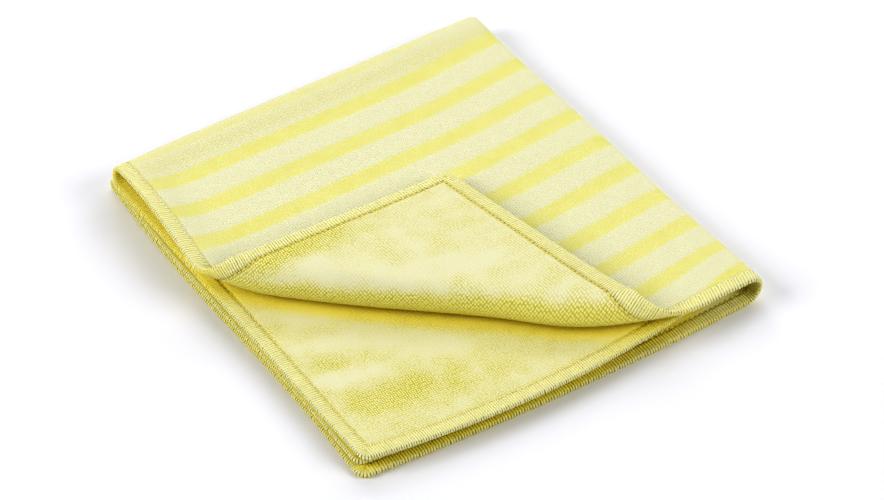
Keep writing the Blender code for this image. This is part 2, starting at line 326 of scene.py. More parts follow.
@dataclass(frozen=True)
class Fold:
    """The fold in four, and the corner that is turned back.

    Places in the stack are measured from its front left corner: x runs to the right fold, y
    to the back fold and z up from the surface.
    """

    cloth: FlatCloth = FlatCloth()
    middle: Point = (91.36, 95.97, 0)
    pitch: float = 3.1
    low_gap: float = 0.2
    front_gap: float = 0.9
    front_gap_depth: float = 30
    hem_rise: float = 0.25
    hem_rise_width: float = 1
    fold_blend: float = 6
    probe: float = 0.15

    left_hems: Hems = Hems(
        top=Line(-4.9, -0.5, 2.9),
        second=Line(3.9, 0, 1.3),
        third=Line(2.4, -0.8, 2.6, 1.2),
        bottom=Line(1.8, -0.4, 2.6, 1.2),
    )
    front_hems: Hems = Hems(
        top=Line(-1.1, 0, -1.1),
        second=Line(3.5, -7.1, 3.6),
        third=Line(5.4, -6.6, 8),
        bottom=Line(1.7, -3.3, -0.1),
    )

    right_fold: Line = Line(177, 0.8, 174.1)
    right_roundness: float = 0.95
    inner_setback: float = 24
    inner_reach: float = 45

    back_fold: Line = Line(189.6, 0, 191.9)
    back_radius_top: float = 2.2
    back_radius_low: float = 1.55
    back_low_shift: float = 1
    crest_depth: float = 14

    mouth_radius: float = 1.8
    mouth_setback: float = 5.4
    mouth_depth: float = 18
    hem_lift: float = 4.8
    hem_lift_depth: float = 16
    hem_lift_length: float = 93

    nose_lift: float = 2
    nose_depth: float = 40
    nose_length: float = 50

    crease_on_front: float = 136
    crease_on_left: float = 122.9
    crease_bows: tuple[float, ...] = (-7.3, 9.4, 3.7, -0.4, 4.6, -13.6)
    crease_overrun: float = 0.08
    roll_stations: tuple[float, ...] = (0, 0.35, 0.75, 1)
    roll_widths: tuple[float, ...] = (8.8, 7.9, 6.6, 6.6)
    roll_heights: tuple[float, ...] = (5.9, 6.2, 5, 4.5)
    belly: float = 5.2
    belly_at: float = 0.82
    belly_width: float = 0.16
    turned_tip: tuple[float, float] = (109.9, 106.8)
    turned_settle: float = 101
    turned_rest: float = 0.6

    ridges: tuple[Spot, ...] = (
        Spot(32, 60, -0.35, 22, 5.5, 0.9),
        Spot(21, 51, -0.10, 11, 3.5, -0.5),
        Spot(26, 41, -0.30, 18, 5, 0.6),
        Spot(32, 24, -0.15, 24, 8, -0.5),
        Spot(74, 34, -0.35, 30, 9, 0.8),
        Spot(19, 74, -1.10, 12, 4, -0.4),
        Spot(118, 120, -0.60, 60, 22, 0.8),
        Spot(60, 160, 0.15, 50, 14, 0.6),
    )

    # Painted light: where and how strongly the plain face turns bright gold, in the mouth, the nose, on the
    # roll and in the roll's shadow on the layer below.
    lit_depth: float = 30
    mouth_lit: float = 0.8
    mouth_end: float = 102
    mouth_fade: float = 25
    nose_lit: float = 0.3
    nose_end: float = 66
    nose_fade: float = 20
    roll_lit: float = 0.75
    roll_edge: float = 17
    under_lit: float = 0.45
    beside_lit: float = 0.16
    roll_shade_at: float = 7
    roll_shade: float = 5
    beside_shade: float = 22

    def _crease(self) -> tuple[float, Array, Array]:
        """The straight line that the crease follows.

        Returns:
            Its distance from the front left corner, its unit normal and its direction.
        """
        normal = np.array([1 / self.crease_on_front, 1 / self.crease_on_left])
        distance = 1 / float(np.hypot(*normal))
        normal = normal * distance
        return distance, normal, np.array([normal[1], -normal[0]])

    def _bow(self, station: Array) -> Array:
        """How far the crease lies in front of the straight line, as a smooth Bezier curve.

        Args:
            station: Share of the crease's length.

        Returns:
            The distances.
        """
        share = np.clip((station + self.crease_overrun) / (1 + 2 * self.crease_overrun), 0, 1)
        last = len(self.crease_bows) - 1
        return sum(
            offset * math.comb(last, number) * share**number * (1 - share) ** (last - number)
            for number, offset in enumerate(self.crease_bows)
        )

    def _past_crease(self, x: Array, y: Array) -> Places:
        """How far a place lies past the crease, and its station along the crease.

        Args:
            x: Place from the left.
            y: Place from the front.

        Returns:
            The distances, and the stations as shares of the crease's length.
        """
        distance, normal, direction = self._crease()
        length = math.hypot(self.crease_on_front, self.crease_on_left)
        station = (x * direction[0] + (y - self.crease_on_left) * direction[1]) / length
        beyond = distance - (x * normal[0] + y * normal[1]) - self._bow(station)
        return beyond, station

    def _roll_size(self, station: Array) -> Places:
        """Size of the roll at a station along the crease.

        Args:
            station: Share of the crease's length.

        Returns:
            How far it stands out, half its height, and its mean radius.
        """
        numbers = range(len(self.roll_stations))
        number = np.interp(station, self.roll_stations, numbers)
        number = np.floor(number) + ease(0, 1, number % 1)
        width = np.interp(number, numbers, self.roll_widths)
        height = np.interp(number, numbers, self.roll_heights)
        return width, height, np.sqrt((width**2 + height**2) / 2)

    def _stack(self, along: Array, across: Array) -> Places:
        """Fold in four.

        Args:
            along: Flat place along the stripes.
            across: Flat place across them.

        Returns:
            x, y, z and whether the point is on the open part of the top layer.
        """
        cloth = self.cloth
        upper = ease(-self.fold_blend, self.fold_blend, along)
        outer = ease(-self.fold_blend, self.fold_blend, across)
        to_right = 1 - np.abs(along) / cloth.half_length
        to_back = 1 - np.abs(across) / cloth.half_width

        mouth = bell(cloth.half_length - np.abs(along), self.mouth_depth) * upper
        radius = blend(self.back_radius_low, self.back_radius_top, upper) + self.mouth_radius * mouth
        centre = self.back_fold.at(to_right) - self.mouth_setback * mouth
        centre = centre + self.back_low_shift * (1 - upper)
        front_hem = self.front_hems.at(to_right, upper, outer)
        y, back_side, past_back = bend_round(across, cloth.half_width, radius, centre, front_hem)

        left_hem = self.left_hems.at(to_back, upper, outer)
        setback = self.inner_setback * bell(y, self.inner_reach) * (1 - outer)
        right = self.right_fold.at(to_back) - setback
        x_flat = blend(left_hem, right, to_right)
        from_back = np.clip(centre - y, 0, None)
        at_left = bell(x_flat, self.hem_lift_depth)
        down_hem = ease(0, self.hem_lift_length, from_back)
        crest = bell(from_back, self.crest_depth) * (1 - at_left) + at_left * (1 - down_hem)
        crest = crest * (2 * radius - self.pitch)
        lifted_hem = self.hem_lift * at_left * arch(np.clip(from_back / self.hem_lift_length, 0, 1))
        from_right = self.right_fold.start - x_flat
        nose = self.nose_lift * bell(y, self.nose_length) * bell(from_right, self.nose_depth)

        inward = cloth.from_edge(along, across)
        at_hem = ease(cloth.hem_width + self.hem_rise_width, cloth.hem_width, inward)
        bottom = cloth.thickness / 2 + self.hem_rise * at_hem
        third = cloth.thickness / 2 + self.low_gap + self.pitch
        third = third + self.front_gap * bell(y, self.front_gap_depth)
        second = third + self.pitch + sum(ridge.at(x_flat, y) for ridge in self.ridges)
        top = second + self.pitch + crest + lifted_hem + nose
        upper_pair = blend(second, top, (1 + back_side) / 2)
        lower_pair = blend(third, bottom, (1 + back_side) / 2)

        half_gap = (upper_pair - lower_pair) / 2
        radius = half_gap * self.right_roundness
        x, right_side, past_right = bend_round(along, cloth.half_length, radius, right, left_hem)
        z = (upper_pair + lower_pair) / 2 + half_gap * right_side
        return x, y, z, past_right & past_back

    def _turn(self, stack: Places) -> Array:
        """Roll the top layer over the crease and lay its corner back on itself.

        Args:
            stack: x, y, z and whether the point is on the open part of the top layer.

        Returns:
            An array of points, one row each.
        """
        x, y, z, on_top = stack
        _, normal, _ = self._crease()
        beyond, station = self._past_crease(x, y)
        width, height, radius = self._roll_size(station)
        angle = np.clip(beyond / radius, 0, np.pi)
        after = np.clip(beyond - np.pi * radius, 0, None)
        tip_distance, tip_station = self._past_crease(np.zeros(1), np.zeros(1))
        tip_after = tip_distance - np.pi * self._roll_size(tip_station)[2]
        step = (np.array(self.turned_tip) - tip_distance * normal) / tip_after
        outward = (width + self.belly * bell(station - self.belly_at, self.belly_width)) * np.sin(angle)
        x_turned = x + (beyond - outward) * normal[0] + after * step[0]
        y_turned = y + (beyond - outward) * normal[1] + after * step[1]
        settled = ease(0, self.turned_settle, after)
        laid_back = blend(z + 2 * height, z + self.pitch + self.turned_rest, settled)
        z_turned = np.where(after > 0, laid_back, z + height * (1 - np.cos(angle)))
        turned = (on_top & (beyond > 0))[:, None]
        laid_down = np.stack([x_turned, y_turned, z_turned], axis=-1)
        return np.where(turned, laid_down, np.stack([x, y, z], axis=-1))

    def in_stack(self, along: Array, across: Array) -> Places:
        """Where points lie in the stack of four, and how far they lie past the crease.

        Args:
            along: Flat place along the stripes.
            across: Flat place across them.

        Returns:
            x, y, the distance past the crease, and whether the point is on the turned corner.
        """
        x, y, _, on_top = self._stack(along, across)
        beyond, _ = self._past_crease(x, y)
        return x, y, beyond, on_top & (beyond > 0)

    def painted_light_through(self, along: Array, across: Array, side: Array) -> Array:
        """Painted light in the open folds: how far a face turns bright gold, as if lit through a layer.

        Args:
            along: Flat place along the stripes.
            across: Flat place across them.
            side: Positive on the striped face, negative on the plain one.

        Returns:
            The shares, above 0 on the plain face inside the mouth and the nose and by the roll.
        """
        at_left = self.cloth.half_length - along
        at_front = self.cloth.half_width - np.abs(across)
        mouth = self.mouth_lit * ease(self.lit_depth, self.lit_depth / 2, at_left)
        mouth = mouth * ease(self.mouth_end, self.mouth_end - self.mouth_fade, np.abs(across))
        nose = self.nose_lit * ease(self.lit_depth, self.lit_depth / 2, at_front)
        nose = nose * ease(self.nose_end, self.nose_end - self.nose_fade, np.abs(along))
        _, _, beyond, turned = self.in_stack(along, across)
        # Painted light over the roll's shadow on the second layer, under and beside the roll.
        under_roll = self.under_lit * bell(beyond - self.roll_shade_at, self.roll_shade)
        beside_roll = self.beside_lit * bell(beyond - self.roll_shade_at, self.beside_shade)
        on_layer = np.maximum(under_roll, beside_roll) * ((along > 0) & (across < 0))
        # Painted light on the lower side of the roll.
        on_roll = self.roll_lit * ease(self.roll_edge, 0, beyond) * turned
        return np.maximum.reduce([mouth, nose, on_layer, on_roll]) * (side < 0)

    def surface(self, along: Array, across: Array) -> Array:
        """Where points of the cloth's middle surface lie, around the stack's middle."""
        return self._turn(self._stack(along, across)) - np.array(self.middle)

    def place(self, along: Array, across: Array, lift: Array) -> Array:
        """Carry points of the flat cloth to their places in the folded one.

        Args:
            along: Flat place along the stripes.
            across: Flat place across them.
            lift: Height above the middle surface, positive on the striped face.

        Returns:
            An array of points in metres, one row each.
        """
        step = self.probe
        by_along = self.surface(along + step, across) - self.surface(along - step, across)
        by_across = self.surface(along, across + step) - self.surface(along, across - step)
        normal = np.cross(by_along, by_across)
        normal /= np.linalg.norm(normal, axis=1, keepdims=True)
        return (self.surface(along, across) + normal * lift[:, None]) * MM


def linear(hex_colour: str) -> tuple[float, ...]:
    """An sRGB hex colour as linear red, green, blue and alpha."""
    shares = [int(hex_colour[start : start + 2], 16) / 255 for start in (1, 3, 5)]
    return (*(s / 12.92 if s <= 0.04045 else ((s + 0.055) / 1.055) ** 2.4 for s in shares), 1)


def feed(tree: Tree, node: bpy.types.Node, inputs: Inputs) -> None:
    """Fill a node's sockets.

    Args:
        tree: The tree that holds the node.
        node: The node.
        inputs: What goes into each socket: another node's output, a value or a hex colour.
    """
    for socket, value in inputs.items():
        if isinstance(value, Socket):
            tree.links.new(value, node.inputs[socket])
        else:
            node.inputs[socket].default_value = linear(value) if isinstance(value, str) else value


def add_node(tree: Tree, kind: str, inputs: Inputs, output: str | int = 0, **settings: Any) -> Socket:
    """Add a node with its settings and its links.

    Args:
        tree: The node tree that gets the node.
        kind: Blender's name for the node, without its "ShaderNode".
        inputs: What goes into each socket: another node's output, a value or a hex colour.
        output: The name or number of the output that is wanted.
        **settings: Values of the node's own fields.

    Returns:
        The output.
    """
    node = tree.nodes.new("ShaderNode" + kind)
    for name, value in settings.items():
        setattr(node, name, value)
    feed(tree, node, inputs)
    return node.outputs[output]


# A Mix node has a set of sockets for each kind of value, so those for colours go by number.
FIRST = 6
SECOND = 7
COLOURS = {"data_type": "RGBA", "output": 2}
SMOOTH = {"interpolation_type": "SMOOTHSTEP"}


class Finish:
    """What all finishes share: a named material whose shader gets its sockets filled."""

    name: str = "finish"

    def grained(self, tree: Tree, size: float) -> Socket:
        """Fine unevenness in the piece's own space, with grains of about the given size."""
        place = add_node(tree, "TexCoord", {}, "Object")
        return add_node(tree, "TexNoise", {"Vector": place, "Scale": 1 / (size * MM)})

    def sockets(self, tree: Tree) -> Inputs:
        """What goes into the shader's sockets. Each finish has its own."""
        raise NotImplementedError

    def make(self) -> bpy.types.Material:
        """Build the material.

        Returns:
            The material.
        """
        material = bpy.data.materials.new(self.name)
        material.use_nodes = True
        tree = material.node_tree
        feed(tree, tree.nodes["Principled BSDF"], self.sockets(tree))
        return material


@dataclass(frozen=True)
class Knit(Finish):
    """What both faces of the knit share: its loops, its nap's sheen, and its painted golden shade and
    light.
    """

    # Real loops are about 0.5 mm. They are drawn coarser, so that they show in the render.
    loop_pitch: float = 1.05
    evenness: float = 0.3
    loop_edge: float = 0.6
    loop_crown: float = 0.12
    relief: float = 0.25
    relief_strength: float = 0.6
    # Painted shade: ambient occlusion within this reach finds closed-in places, whose colour is multiplied
    # by the deep and gap tints below, darker the deeper they lie.
    painted_shade_reach: float = 8
    painted_shade_samples: int = 8
    painted_deep_shade: str = "#F8E656"
    painted_gap_shade: str = "#FFF474"
    open_tint: str = "#FFFFFF"
    deep_to_gap: tuple[float, float] = (0.02, 0.3)
    gap_to_open: tuple[float, float] = (0.4, 0.98)
    # Painted light: the bright gold of light that has come through a layer.
    painted_light_gold: str = "#FCEE62"
    roughness: float = 0.92
    sheen: float = 0.12
    sheen_roughness: float = 0.6

    def flat_places(self, tree: Tree, size: float) -> Socket:
        """Places on the flat cloth, in repeats of a pattern of the given size."""
        flat = add_node(tree, "UVMap", {}, uv_map=FLAT_MAP)
        return add_node(tree, "Mapping", {"Vector": flat, "Scale": [1 / (size * MM)] * 3})

    def loops(self, tree: Tree) -> Socket:
        """Rows of rounded loops.

        Args:
            tree: The material's tree.

        Returns:
            Their height, 1 on top of each and 0 between them.
        """
        cells = {"Vector": self.flat_places(tree, self.loop_pitch), "Scale": 1, "Randomness": self.evenness}
        middle = add_node(tree, "TexVoronoi", cells, voronoi_dimensions="2D", feature="F1")
        rise = {"Value": middle, "From Min": self.loop_edge, "From Max": self.loop_crown}
        return add_node(tree, "MapRange", rise, **SMOOTH)

    def noise(self, tree: Tree, size: float, detail: float) -> Socket:
        """Soft unevenness on the flat cloth, with spots of about the given size."""
        inputs = {"Vector": self.flat_places(tree, size), "Scale": 1, "Detail": detail}
        return add_node(tree, "TexNoise", inputs, noise_dimensions="2D")

    def knitted(self, tree: Tree, colour: Socket, height: Socket) -> Inputs:
        """Paint shade and light into the knit's colour, and give it its relief.

        Painted shade: deep in a fold or a seam, where ambient occlusion finds the surface closed in,
        the colour is multiplied by gold tints, darker the deeper it lies. Painted light: where the
        points are marked as lit through the single layer over them, the colour turns bright gold.

        Args:
            tree: The material's tree.
            colour: The knit's colour in the open.
            height: Height of the loops, 0 to 1.

        Returns:
            What goes into the shader's sockets.
        """
        # Painted shade: gold and darker where ambient occlusion finds folds, seams and gaps.
        reach = {"Distance": self.painted_shade_reach * MM}
        openness = add_node(tree, "AmbientOcclusion", reach, "AO", samples=self.painted_shade_samples)
        painted_shade_tint = self.painted_deep_shade
        for span, lighter in ((self.deep_to_gap, self.painted_gap_shade), (self.gap_to_open, self.open_tint)):
            rise = {"Value": openness, "From Min": span[0], "From Max": span[1]}
            share = add_node(tree, "MapRange", rise, **SMOOTH)
            painted_shade_tint = add_node(tree, "Mix", {"Factor": share, FIRST: painted_shade_tint, SECOND: lighter}, **COLOURS)
        painted_shade_colour = {"Factor": 1, FIRST: colour, SECOND: painted_shade_tint}
        painted_shade_colour = add_node(tree, "Mix", painted_shade_colour, **COLOURS, blend_type="MULTIPLY")
        # Painted light: bright gold where the points are marked as lit through the layer over them.
        painted_light = add_node(tree, "Attribute", {}, "Fac", attribute_name=PAINTED_LIGHT_THROUGH)
        golden = {"Factor": painted_light, FIRST: painted_shade_colour, SECOND: self.painted_light_gold}
        relief = {"Height": height, "Distance": self.relief * MM, "Strength": self.relief_strength}
        return {
            "Base Color": add_node(tree, "Mix", golden, **COLOURS),
            "Normal": add_node(tree, "Bump", relief),
            "Roughness": self.roughness,
            "Sheen Weight": self.sheen,
            "Sheen Roughness": self.sheen_roughness,
        }


@dataclass(frozen=True)
class StripedTerry(Knit):
    """Polyester-polyamide knit with cream loop-pile stripes between smooth yellow ones.

    The stripe on the back fold fades to cream, and the loops show most beside it, where the
    fold opens them.
    """

    name: str = "knitted_microfibre_striped_terry"
    cloth: FlatCloth = FlatCloth()
    cream: str = "#ECEACF"
    cream_shade: str = "#E1DFAB"
    yellow: str = "#E8E59B"
    yellow_shade: str = "#DFDA7A"
    # Darker yellow where the mark is set: beside the back fold, and as painted shade at the hem.
    ground: str = "#D8CE5C"
    wave: float = 0.7
    wave_size: float = 3
    wave_detail: float = 3
    blur: float = 0.06
    mottle_size: float = 8
    mottle_detail: float = 4
    mottle_full: float = 0.5
    yellow_loops: float = 0.4

    def stripe(self, tree: Tree) -> Socket:
        """The stripes, with soft and slightly wavy edges.

        Args:
            tree: The material's tree.

        Returns:
            1 on a yellow stripe and 0 on a cream one.
        """
        row = add_node(tree, "SeparateXYZ", {"Vector": self.flat_places(tree, 1)}, "Y")
        noise = self.noise(tree, self.wave_size, self.wave_detail)
        wave = add_node(tree, "MapRange", {"Value": noise, "To Min": -self.wave, "To Max": self.wave})
        for operation, numbers in (
            ("ADD", {1: wave}),
            ("MULTIPLY_ADD", {1: 1 / self.cloth.stripe_repeat, 2: self.cloth.stripe_phase}),
            ("FRACT", {}),
            ("SUBTRACT", {1: 0.5}),
            ("ABSOLUTE", {}),
            ("SUBTRACT", {1: self.cloth.yellow_share / 2}),
        ):
            row = add_node(tree, "Math", {0: row, **numbers}, operation=operation)
        rise = {"Value": row, "From Min": self.blur, "From Max": -self.blur}
        return add_node(tree, "MapRange", rise, **SMOOTH)

    def sockets(self, tree: Tree) -> Inputs:
        """Mix the stripes, their loops and their wear.

        Args:
            tree: The material's tree.

        Returns:
            What goes into the shader's sockets.
        """
        loops = self.loops(tree)
        faded_crest = add_node(tree, "Attribute", {}, "Fac", attribute_name=CREST_FADE)
        shown_knit_and_shade = add_node(tree, "Attribute", {}, "Fac", attribute_name=SHOWN_KNIT_AND_SHADE)
        # The stripe fades to cream on the back fold.
        shown = {0: self.stripe(tree), 1: faded_crest}
        stripe = add_node(tree, "Math", shown, operation="SUBTRACT", use_clamp=True)
        noise = self.noise(tree, self.mottle_size, self.mottle_detail)
        mottle = add_node(tree, "Math", {0: noise, 1: loops}, operation="MULTIPLY")
        mottle = add_node(tree, "MapRange", {"Value": mottle, "From Max": self.mottle_full}, **SMOOTH)
        mottle = {"Factor": mottle, FIRST: self.yellow_shade, SECOND: self.yellow}
        yellow = add_node(tree, "Mix", mottle, **COLOURS)
        colour = self.cream_shade
        # The mark darkens the cream to the ground colour; at the hem this is painted shade.
        for share, over in ((shown_knit_and_shade, self.ground), (loops, self.cream), (stripe, yellow)):
            colour = add_node(tree, "Mix", {"Factor": share, FIRST: colour, SECOND: over}, **COLOURS)
        low = {0: stripe, 1: self.yellow_loops - 1, 2: 1}
        low = add_node(tree, "Math", low, operation="MULTIPLY_ADD")
        return self.knitted(tree, colour, add_node(tree, "Math", {0: loops, 1: low}, operation="MULTIPLY"))


@dataclass(frozen=True)
class BrushedLoops(Knit):
    """The same knit's plain face: a pale brushed nap over rows of yellow loops.

    The loops show as light dots with darker gaps where the points are marked for them. In the
    folds and at the hem, that mark is painted shade.
    """

    name: str = "knitted_microfibre_brushed_loops"
    nap: str = "#E7E5C8"
    nap_shade: str = "#E2DFAE"
    loop_top: str = "#F8F5A0"
    loop_gap: str = "#BDB12C"
    spot_size: float = 9
    spot_detail: float = 4
    spot_swing: float = 0.7
    spot_shift: float = -0.3

    def sockets(self, tree: Tree) -> Inputs:
        """Lay the nap over the loops, aside where the knit and painted shade are marked.

        Args:
            tree: The material's tree.

        Returns:
            What goes into the shader's sockets.
        """
        loops = self.loops(tree)
        shown_knit_and_shade = add_node(tree, "Attribute", {}, "Fac", attribute_name=SHOWN_KNIT_AND_SHADE)
        noise = self.noise(tree, self.spot_size, self.spot_detail)
        swing = {0: noise, 1: self.spot_swing, 2: self.spot_shift}
        uneven = add_node(tree, "Math", swing, operation="MULTIPLY_ADD")
        shown = add_node(tree, "Math", {0: shown_knit_and_shade, 1: uneven}, operation="ADD")
        shown = add_node(tree, "MapRange", {"Value": shown}, **SMOOTH)
        nap, ground = (
            add_node(tree, "Mix", {"Factor": loops, FIRST: shade, SECOND: light}, **COLOURS)
            for shade, light in ((self.nap_shade, self.nap), (self.loop_gap, self.loop_top))
        )
        colour = add_node(tree, "Mix", {"Factor": shown, FIRST: nap, SECOND: ground}, **COLOURS)
        height = add_node(tree, "Math", {0: loops, 1: shown}, operation="MULTIPLY")
        return self.knitted(tree, colour, height)


@dataclass(frozen=True)
class SewingThread(Knit):
    """Textured polyester thread, pale yellow, matt and slightly uneven along its length."""

    name: str = "textured_polyester_thread"
    light: str = "#F2F2CC"
    dark: str = "#E8E7AA"
    grain: float = 0.5
    relief: float = 0.08

    def sockets(self, tree: Tree) -> Inputs:
        """Mottle the thread with its grain."""
        mottle = {"Factor": self.grained(tree, self.grain), FIRST: self.dark, SECOND: self.light}
        return self.knitted(tree, add_node(tree, "Mix", mottle, **COLOURS), mottle["Factor"])


@dataclass(frozen=True)
class PaperSweep(Finish):
    """Matt white studio paper, with a faint tooth that keeps it from looking like plastic."""

    name: str = "matt_white_paper"
    colour: str = "#F2F2F8"
    roughness: float = 0.9
    grain: float = 1 / 0.9
    relief: float = 0.02
    strength: float = 0.1

    def sockets(self, tree: Tree) -> Inputs:
        """Give the paper its colour and its tooth."""
        tooth = {"Distance": self.relief * MM, "Strength": self.strength}
        return {
            "Base Color": self.colour,
            "Roughness": self.roughness,
            "Normal": add_node(tree, "Bump", {"Height": self.grained(tree, self.grain), **tooth}),
        }


class Face(Enum):
    """The material slots of the cloth."""

    STRIPED = 0
    PLAIN = 1


@dataclass
class ClothSheet:
    """The knitted sheet, from hem to hem."""

    fold: Fold = Fold()
    hidden_cell: float = 5
    open_cell: float = 1.5
    right_turn: float = 14
    back_turn: float = 9
    turn_cell: float = 0.8
    hem_cells: tuple[float, ...] = (0, 0.7, 1.8, 3.4, 4.6, 5.2, 5.9, 7.2)
    hem_step: float = 1.6
    needle_groove: float = 0.35
    needle_groove_reach: float = 0.5
    stripe_relief: float = 0.2
    bent_start: float = 11
    bent_end: float = 19
    crest_fade_reach: float = 9
    crest_fade_share: float = 0.75
    open_loops_at: float = 13
    open_loops_reach: float = 5
    open_loops: float = 0.6
    # Shares of the darker yellow knit on the plain face. The hem's share is painted shade between the
    # overlock threads.
    knit_shown_all_over: float = 0.36
    knit_shown_on_flap: float = 0.3
    painted_hem_shade: float = 0.3
    painted_hem_shade_fade: float = 0.8
    # Patches of darker yellow knit on the plain face, and pale spots where a height is negative.
    layer_patches: tuple[Spot, ...] = (
        Spot(30, 58, -0.43, 18, 3.2, -0.7),
        Spot(59, 40, -0.5, 14, 6, -0.6),
        Spot(21, 42, -0.3, 14, 3, -0.7),
        Spot(27, 79, -0.5, 10, 5, -0.6),
        Spot(20, 52, -0.2, 9, 3.2, 0.5),
        Spot(27, 25, -0.2, 20, 8, 0.35),
        Spot(45, 22, -0.4, 25, 9, 0.25),
        Spot(66, 47, -1.2, 24, 6, 0.4),
    )
    flap_patches: tuple[Spot, ...] = (
        Spot(4, 74, 0, 8, 26, 0.8),
        Spot(23, 68, -0.6, 12, 5, -0.5),
        Spot(50, 38, -2, 20, 6, -0.5),
    )

    def grid_lines(self, half: float, turn: float) -> Array:
        """Places of the grid lines, from the hidden hem to the open one.

        Args:
            half: Half the cloth's size in this direction.
            turn: How far the fold's turn reaches from the middle.

        Returns:
            The places in order.
        """
        hem = [half - depth for depth in self.hem_cells]
        middle = even_steps(turn, 0, self.turn_cell)
        hidden = hem + even_steps(hem[-1], turn, self.hidden_cell) + middle
        shown = hem + even_steps(hem[-1], turn, self.open_cell) + middle[:-1]
        return np.array([-place for place in hidden] + shown[::-1])

    def flat_sheet(self) -> Piece:
        """Model the flat grid, with rounded corners, and keep the flat places as its map.

        Returns:
            The flat sheet.
        """
        cloth = self.fold.cloth
        along_lines = self.grid_lines(cloth.half_length, self.right_turn)
        across_lines = self.grid_lines(cloth.half_width, self.back_turn)
        columns = len(along_lines) - 1
        rows = len(across_lines) - 1
        deselect_all()
        bpy.ops.mesh.primitive_grid_add(x_subdivisions=columns, y_subdivisions=rows, size=2)
        sheet = name_new("cloth_sheet")
        # The new grid runs from -1 to 1 both ways, so a point's place gives its lines' numbers.
        share = (read_points(sheet.data) + 1) / 2
        along = along_lines[np.rint(share[:, 0] * columns).astype(int)]
        across = across_lines[np.rint(share[:, 1] * rows).astype(int)]
        along, across = cloth.round_corners(along, across)
        write_points(sheet.data, np.stack([along, across, np.zeros_like(along)], axis=-1))
        # The map is in metres, and follows the knit's own rows.
        places = np.stack([along, cloth.in_knit(along, across)], axis=-1) * MM
        corners = [loop.vertex_index for loop in sheet.data.loops]
        sheet.data.uv_layers[0].name = FLAT_MAP
        sheet.data.uv_layers[FLAT_MAP].data.foreach_set("uv", places[corners].ravel())
        return sheet

    def wear(self, sheet: Piece, along: Array, across: Array, side: Array) -> None:
        """Mark where each face shows its darker yellow knit or painted shade, where the crest stripe fades,
        and where light is painted.

        Args:
            sheet: The sheet with its two faces.
            along: Flat place along the stripes.
            across: Flat place across them.
            side: 1 on the striped face, -1 on the plain one.
        """
        cloth = self.fold.cloth
        x, y, beyond, turned = self.fold.in_stack(along, across)
        flap = self.knit_shown_on_flap + sum(spot.at(x, y) for spot in self.flap_patches)
        layer = self.knit_shown_all_over + sum(spot.at(x, y) for spot in self.layer_patches) * (across < 0)
        # On the roll the knit shows darker yellow: partly the nap parting on the bend, partly painted shade
        # of the roll's lower side.
        roll_knit_and_shade = ease(self.bent_end, self.bent_start, beyond) * turned
        inward = cloth.from_edge(along, across)
        # Painted shade: the hem under the threads turns darker gold, so the gaps between threads look
        # shaded.
        hem = self.painted_hem_shade * ease(cloth.hem_width + self.painted_hem_shade_fade, cloth.hem_width, inward)
        # Painted shade: the inner faces near the folds' middles turn darker gold.
        painted_fold_shade = np.maximum(bell(along, self.right_turn), bell(across, self.right_turn))
        plain = np.maximum.reduce([np.where(turned, flap, layer), roll_knit_and_shade, hem, painted_fold_shade])
        open_loops = self.open_loops * bell(across - self.open_loops_at, self.open_loops_reach)
        faded_crest = self.crest_fade_share * bell(across, self.crest_fade_reach) * (side > 0)
        write_attribute(sheet, SHOWN_KNIT_AND_SHADE, np.where(side < 0, plain, np.maximum(open_loops, hem)))
        write_attribute(sheet, CREST_FADE, faded_crest)
        write_attribute(sheet, PAINTED_LIGHT_THROUGH, self.fold.painted_light_through(along, across, side))

    def lift(self, along: Array, across: Array, side: Array) -> Array:
        """Height of the two faces over the middle surface.

        Args:
            along: Flat place along the stripes.
            across: Flat place across them.
            side: 1 on the striped face, -1 on the plain one.

        Returns:
            The heights.
        """
        cloth = self.fold.cloth
        inward = cloth.from_edge(along, across)
        in_field = ease(cloth.hem_width, cloth.hem_width + self.hem_step, inward)
        half = blend(cloth.hem_thickness / 2, cloth.thickness / 2, in_field)
        groove = self.needle_groove * bell(inward - cloth.hem_width, self.needle_groove_reach)
        stripe = cloth.stripe(cloth.in_knit(along, across)) * in_field * (side > 0)
        return side * (half - groove - self.stripe_relief * stripe)

    def build(self) -> Piece:
        """Model the sheet flat, give it its two faces and fold it.

        Returns:
            The finished piece.
        """
        sheet = self.flat_sheet()
        self.dress(sheet)
        apply_modifier(
            sheet, "SOLIDIFY", thickness=self.fold.cloth.thickness, offset=0,
            material_offset=Face.PLAIN.value, material_offset_rim=Face.PLAIN.value,
        )
        along, across, height = read_points(sheet.data).T
        side = np.sign(height)
        self.wear(sheet, along, across, side)
        write_points(sheet.data, self.fold.place(along, across, self.lift(along, across, side)))
        sheet.data.shade_smooth()
        return sheet

    def dress(self, sheet: Piece) -> None:
        """Give each face of the sheet its finish."""
        sheet.data.materials.append(StripedTerry(cloth=self.fold.cloth).make())
        sheet.data.materials.append(BrushedLoops().make())


